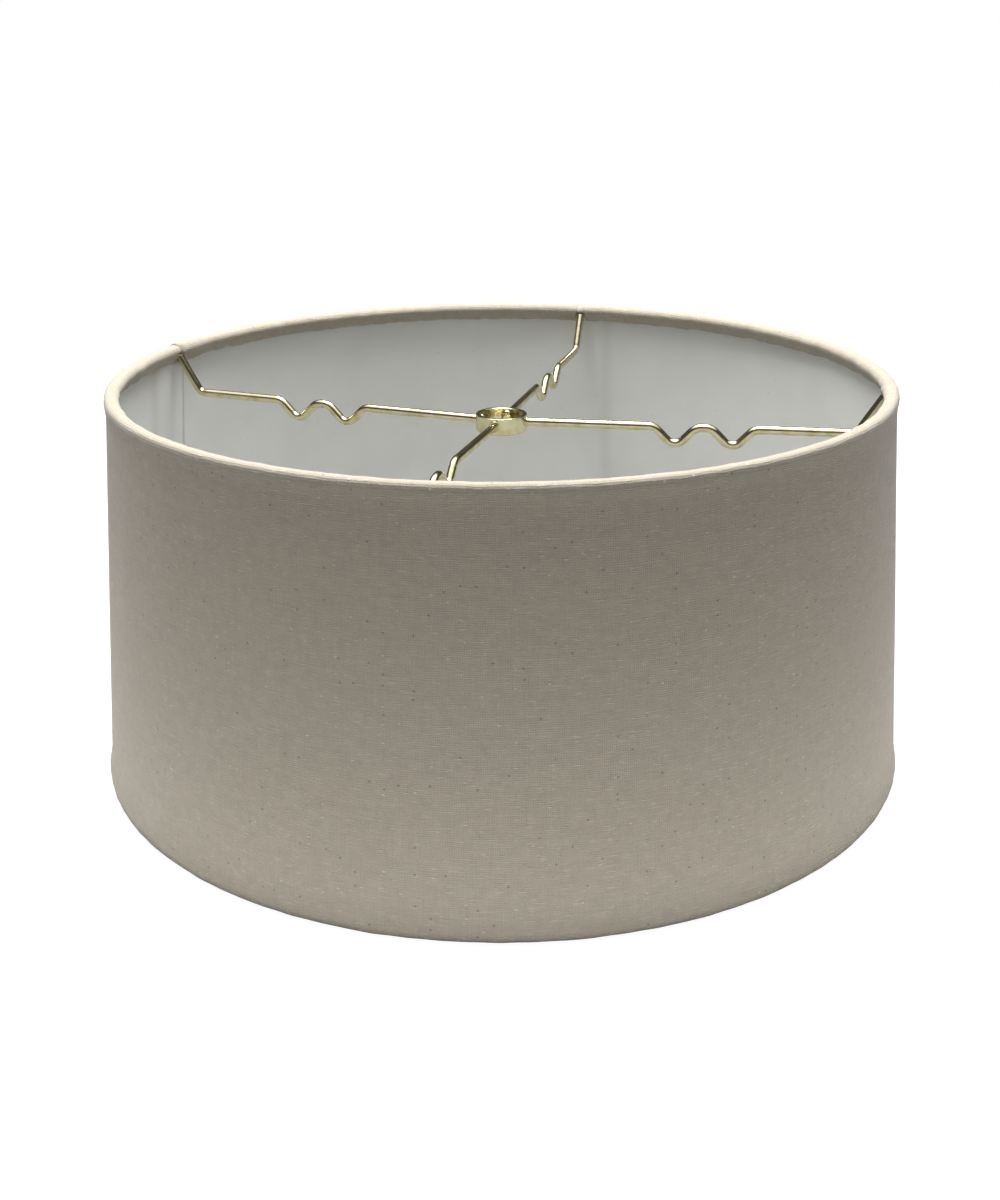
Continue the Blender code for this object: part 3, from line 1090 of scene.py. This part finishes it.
@dataclass
class SpiderArm:
    """One wire arm: headed in the hub, crimped twice, bent up and welded to the ring."""

    form: SpiderForm
    finish: WireFinish
    side: Side
    sides: int = 28
    step: float = 0.45 * MM
    flattening: float = 0.05
    dome: float = 1.5 * MM
    bead_length: float = 2.0 * MM
    bead_back: float = 1.4 * MM
    bead_width: float = 1.09

    def line(self) -> Array:
        """Centreline in the arm's own plane, as (radius, height).

        Returns:
            Evenly spaced points from the hub's wall to the top ring.
        """
        form = self.form
        flank = math.atan2(form.crimp_depth, form.crimp_width / 2)
        dip = form.crimp_depth + form.dip_radius * (1 / math.cos(flank) - 1)
        starts = form.crimp_start + np.arange(2) * (form.crimp_width + form.crimp_gap)
        r = starts[:, None] + np.array([0, 0.5, 1]) * form.crimp_width
        z = form.level - np.array([0, 1, 0]) * dip + 0 * r
        crimps = np.stack([r, z], 2).reshape(-1, 2)
        bend = np.array([form.drum.top_diameter / 2 - form.bend_inset, form.level])
        ring = form.drum.ring_centre(Rim.TOP)
        rise = (ring - bend) / np.linalg.norm(ring - bend)
        end = ring - rise * (form.drum.ring_wire / 2 + form.drum.fit)
        first = np.array([form.head_radius(), form.level])
        corners = np.concatenate([[first], crimps, [bend, end]])
        crimp = [form.crest_radius, form.dip_radius, form.crest_radius]
        radii = np.array(crimp * 2 + [form.bend_radius])
        return rounded(corners, radii, self.step)

    def spin(self, plane: Array) -> Array:
        """Points of the arm's plane, as (radius, height), turned to its azimuth."""
        return spun(plane[:, 0], self.side.azimuth, plane[:, 1])

    def capped_tube(self, plane: Array, radius: Array, across: Array) -> Patch:
        """Tube along a line in the arm's plane, closed with a pole at each end."""
        ends = np.concatenate([[0], radius, [0]])
        line = np.concatenate([plane[:1], plane, plane[-1:]])
        line[0] -= (plane[1] - plane[0]) * 0.02
        line[-1] += (plane[-1] - plane[-2]) * 0.02
        return tube(self.spin(line), ends, across, self.sides)

    def build(self) -> Object:
        """Wire, upset head and weld bead as one piece.

        The wire is thinned a little on its bends, where it was pressed: its
        radius is half the wire less a part of the path's curvature.

        Returns:
            The arm.
        """
        form = self.form
        across = np.array([-math.sin(self.side.azimuth), math.cos(self.side.azimuth), 0.0])
        line = self.line()
        heading = np.unwrap(np.arctan2(*np.gradient(line, axis=0).T[::-1]))
        bend = np.abs(np.gradient(heading))
        bend = np.convolve(bend, np.ones(5) / 5, "same")
        pressed = 1 - self.flattening * bend / bend.max()
        radius = form.wire / 2 * pressed
        radius[0] *= 0.98
        patches = [self.capped_tube(line, radius, across)]
        t = np.linspace(0, math.pi, 22)
        reach = form.head_radius() - self.dome * swing(t)
        swell = form.head / 2 * np.sin(t) ** 0.45
        swell[[0, -1]] = 0.0
        head = np.stack([reach, np.full_like(t, form.level)], 1)
        patches.append(tube(self.spin(head), swell, across, self.sides))
        along = line[-1] - line[-4]
        along /= np.linalg.norm(along)
        t = np.linspace(0, math.pi, 16)
        back = self.bead_back - self.bead_length * swing(t)
        bead = line[-1] - along * back[:, None]
        bulge = form.wire / 2 * self.bead_width * np.sin(t) ** 0.6
        bulge[[0, -1]] = 0.0
        patches.append(tube(self.spin(bead), bulge, across, self.sides))
        name = self.side.node.replace("spider_arm", "wire_arm")
        piece = make_piece(name, patches, self.finish.material())
        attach(piece, BODY)
        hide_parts(self.side.node)
        return piece


@dataclass
class SpiderHub:
    """Drawn cup with a rolled lip, a bored flange and a punched hole for each arm."""

    form: SpiderForm
    finish: WireFinish
    segments: int = 160
    lip_in: float = 1.1 * MM
    lip_depth: float = 1.0 * MM
    hole_gap: float = 0.22 * MM
    collar_width: float = 0.18 * MM
    collar_bead: tuple = (0.24 * MM, 0.22 * MM)
    collar_sink: float = 0.03 * MM

    def profile(self) -> Array:
        """Section of the cup as (radius, height), rounded at each corner."""
        form = self.form
        outer, inner = form.hub_diameter / 2, form.hub_diameter / 2 - form.hub_wall
        low, top = form.hub_bottom, form.hub_bottom + form.hub_height
        bore, flange = form.hub_bore / 2, low + form.hub_flange
        lip, under, first = inner - self.lip_in, top - self.lip_depth, bore + 1.5 * MM
        wall = [[first, low], [outer, low], [outer, top], [lip, top], [lip, under], [inner, under]]
        seat = [[inner, flange], [bore, flange], [bore, low], [first, low]]
        corners = np.array(wall + seat)
        radii = np.array([0.9, 0.42, 0.42, 0.42, 0.3, 0.5, 0.35, 0.35]) * MM
        return rounded(corners, radii, 0.16 * MM)[:-1]

    def drill(self, side: Side) -> Object:
        """Closed pin that cuts an arm's hole through the wall."""
        form = self.form
        outer = form.hub_diameter / 2
        reach = np.linspace(outer - 3 * form.hub_wall, outer + 2 * MM, 6)
        path = spun(reach, side.azimuth, form.level)
        radius = np.full(len(reach), form.wire / 2 + self.hole_gap)
        radius[[0, -1]] = 0.0
        path[0], path[-1] = path[1], path[-2]
        across = np.array([-math.sin(side.azimuth), math.cos(side.azimuth), 0.0])
        patch = tube(path + 1e-9, radius, across, 40)
        return make_piece("hub_drill_" + side.name.lower(), [patch], self.finish.material())

    def collar(self, side: Side) -> Patch:
        """Raised edge of a punched hole: a small ring bent onto the round wall.

        A point is the hole's circle at t plus a bead, pushed out to the wall:
        x = sqrt(outer^2 - y^2) along the arm.
        """
        form = self.form
        outer = form.hub_diameter / 2
        t, q = turns(40), turns(10)[:, None]
        wide, high = self.collar_bead
        ring = form.wire / 2 + self.hole_gap + self.collar_width + wide * np.cos(q)
        y, z = ring * np.cos(t), ring * np.sin(t) + form.level
        x = np.sqrt(outer**2 - y**2) + high * np.sin(q) - self.collar_sink
        c, s = math.cos(side.azimuth), math.sin(side.azimuth)
        points = np.stack([x * c - y * s, x * s + y * c, z], 2)
        around = np.linspace(0, TURN * form.wire / 2, 41)
        return Patch(points, np.linspace(0, 1.2 * MM, 11), around, True, True)

    def build(self) -> list[Object]:
        """Turn the cup, drill its four holes and set a collar round each.

        Returns:
            The cup and its collars.
        """
        material = self.finish.material()
        around = turns(self.segments)
        cup = make_piece("hub_cup", [lathe(self.profile(), around, True)], material)
        drills = [self.drill(side) for side in Side]
        bpy.context.view_layer.objects.active = cup
        for drill in drills:
            cut = cup.modifiers.new(drill.name, "BOOLEAN")
            cut.operation, cut.solver, cut.object = "DIFFERENCE", "EXACT", drill
            with bpy.context.temp_override(object=cup, active_object=cup):
                bpy.ops.object.modifier_apply(modifier=cut.name)
        for drill in drills:
            bpy.data.objects.remove(drill, do_unlink=True)
        cup.data.set_sharp_from_angle(angle=math.radians(35))
        collars = make_piece("hub_hole_edges", [self.collar(side) for side in Side], material)
        for piece in (cup, collars):
            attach(piece, BODY)
        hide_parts("spider_hub")
        return [cup, collars]


# The studio


@dataclass
class Studio:
    """Floor, soft lights, surroundings and camera."""

    overhead: float = 28.5
    overhead_size: tuple = (0.8, 0.5)
    overhead_at: tuple = (-0.03, 0.12, 1.2)
    overhead_tint: tuple = (1.0, 0.99, 0.97)
    aim: tuple = (0.0, 0.0, 0.1)
    floor_half: float = 6.0
    floor_drop: float = 0.4 * MM
    glow_inner: float = 0.19
    glow_outer: float = 0.36
    sky_low: float = 0.05
    sky_high: float = 1.15
    sky_edge: tuple = (0.60, 0.82)
    camera_at: tuple = (0.0, -0.71591, 0.340575)
    camera_right: tuple = (0.99999100, -0.0001469, -0.00424081)
    camera_up: tuple = (0.00417041, 0.21853634, 0.97581990)
    focal_ratio: float = 1599.02 / 1200
    centre_drop: float = (600 - 365) / 1200
    sensor: float = 36.0

    def add_camera(self) -> None:
        """Camera on its three axes, with the lens that gives the focal ratio."""
        data = bpy.data.cameras.new("studio_camera")
        data.sensor_width = self.sensor
        data.lens = self.focal_ratio * self.sensor
        data.shift_y = -self.centre_drop
        data.clip_start, data.clip_end = 0.01, 100.0
        camera = bpy.data.objects.new("studio_camera", data)
        right = Vector(self.camera_right).normalized()
        up = Vector(self.camera_up).normalized()
        axes = Matrix((right, up, right.cross(up))).transposed().to_4x4()
        camera.matrix_world = Matrix.Translation(self.camera_at) @ axes
        bpy.context.scene.collection.objects.link(camera)
        bpy.context.scene.camera = camera

    def add_light(self) -> None:
        """Rectangular soft light over the shade, aimed at it."""
        data = bpy.data.lights.new("overhead", "AREA")
        data.shape = "RECTANGLE"
        data.size, data.size_y = self.overhead_size
        data.energy = self.overhead
        data.color = self.overhead_tint
        light = bpy.data.objects.new("overhead", data)
        turn = (Vector(self.aim) - Vector(self.overhead_at)).to_track_quat("-Z", "Y")
        light.matrix_world = Matrix.Translation(self.overhead_at) @ turn.to_matrix().to_4x4()
        light.visible_camera = False
        bpy.context.scene.collection.objects.link(light)

    def add_floor(self) -> None:
        """A wide flat sweep just under the shade."""
        line = np.linspace(-self.floor_half, self.floor_half, 25)
        x, y = np.meshgrid(line, line)
        points = np.stack([x, y, np.full_like(x, -self.floor_drop)], 2)
        line = line + self.floor_half
        floor = make_piece("studio_floor", [Patch(points, line, line)], FloorFinish().material())
        if floor.data.polygons[0].normal.z < 0:
            floor.data.flip_normals()

    def add_glow(self) -> None:
        """A lit ring of table round the shade, which lights the wall from below.

        Its points are (r cos a, r sin a, 0), and the camera doesn't see it.
        """
        radii = np.linspace(self.glow_inner, self.glow_outer, 3)
        profile = np.stack([radii, 0 * radii], 1)
        ring = make_piece("table_glow", [lathe(profile, turns(96), False)], GlowFinish().material())
        if ring.data.polygons[0].normal.z < 0:
            ring.data.flip_normals()
        ring.visible_camera = False
        ring.visible_glossy = False

    def add_world(self) -> None:
        """A pale ceiling over a dim room, with white where the view misses everything.

        The brightness is a smooth step of the direction's height, and camera
        rays get plain white.
        """
        world = bpy.data.worlds.new("studio_world")
        bpy.context.scene.world = world
        world.use_nodes = True
        sky = Nodes(world.node_tree)
        up = sky.split(sky.place("Generated"))[2]
        ceiling = sky.ramp(up, *self.sky_edge, self.sky_low, self.sky_high)
        looked_at = sky.add("LightPath", {})["Is Camera Ray"]
        back = sky.tree.nodes["Background"].inputs
        sky.feed(back["Strength"], sky.math("MAXIMUM", looked_at, ceiling))
        sky.feed(back["Color"], rgb(1.0, 1.0, 1.0))

    def build(self) -> None:
        """Set up everything that isn't the object."""
        self.add_camera()
        self.add_floor()
        self.add_glow()
        self.add_world()
        self.add_light()
        bpy.context.scene.view_settings.view_transform = "Standard"
        bpy.context.scene.view_settings.look = "None"


def clear_startup() -> None:
    """Remove the startup scene's cube, light and camera."""
    for name in ("Cube", "Light", "Camera"):
        item = bpy.data.objects.get(name)
        if item is not None:
            bpy.data.objects.remove(item, do_unlink=True)


def report(piece: Object) -> None:
    """Log a piece's name and its count of faces."""
    LOG.info("%s: %d faces", piece.name, len(piece.data.polygons))


def main() -> None:
    """Build the shade piece by piece, then its studio."""
    logging.basicConfig(level=logging.INFO, format="%(name)s %(message)s")
    clear_startup()
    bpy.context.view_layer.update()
    drum = DrumForm()
    liner = StyreneLiner(drum, StyreneFinish())
    report(liner.build())
    report(SeamTape(drum, TapeFinish(), liner).build())
    for rim in Rim:
        report(WireRing(drum, STEEL, rim).build())
    report(LinenCover(drum, LinenFinish()).build())
    spider = SpiderForm(drum)
    for piece in SpiderHub(spider, BRASS).build():
        report(piece)
    for side in Side:
        report(SpiderArm(spider, BRASS, side).build())
    Studio().build()


if __name__ == "__main__":
    main()
